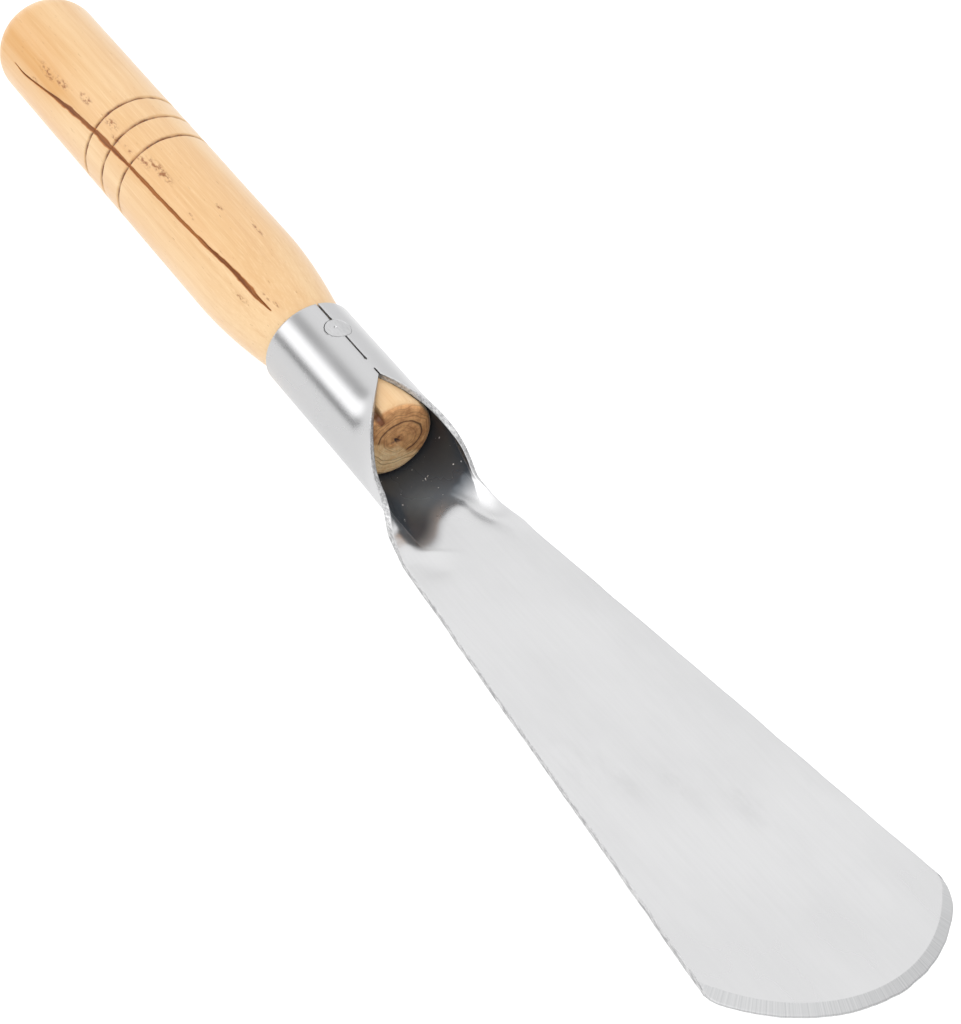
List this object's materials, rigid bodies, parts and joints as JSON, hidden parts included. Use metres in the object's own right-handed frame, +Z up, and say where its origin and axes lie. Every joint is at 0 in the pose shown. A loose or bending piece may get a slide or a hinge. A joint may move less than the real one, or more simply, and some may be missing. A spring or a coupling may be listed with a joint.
{
  "type": "uncapping knife",
  "caption": "Beekeeping scraper knife: a flared steel blade with a curved ground edge, its neck rolled into a socket around a turned wooden handle.",
  "frame": {"origin": "under the middle of the tool's whole length, on its plane of symmetry, level with the underside of the grip", "axes": "+X along the handle's axis towards the cutting edge, +Z up through the open seam of the socket, +Y across the blade"},
  "size_m": [0.3034, 0.0524, 0.0238],
  "materials": {
    "steel": "satin sheet with a brighter ground bevel and raw cut edges",
    "wood": "pale lacquered hardwood with burnt grooves and a drying crack",
    "pin_steel": "ground flush and satin"
  },
  "bodies": {
    "root": {"blade_sheet": "steel", "handle": "wood", "handle_pin": "pin_steel"}
  },
  "joints": []
}
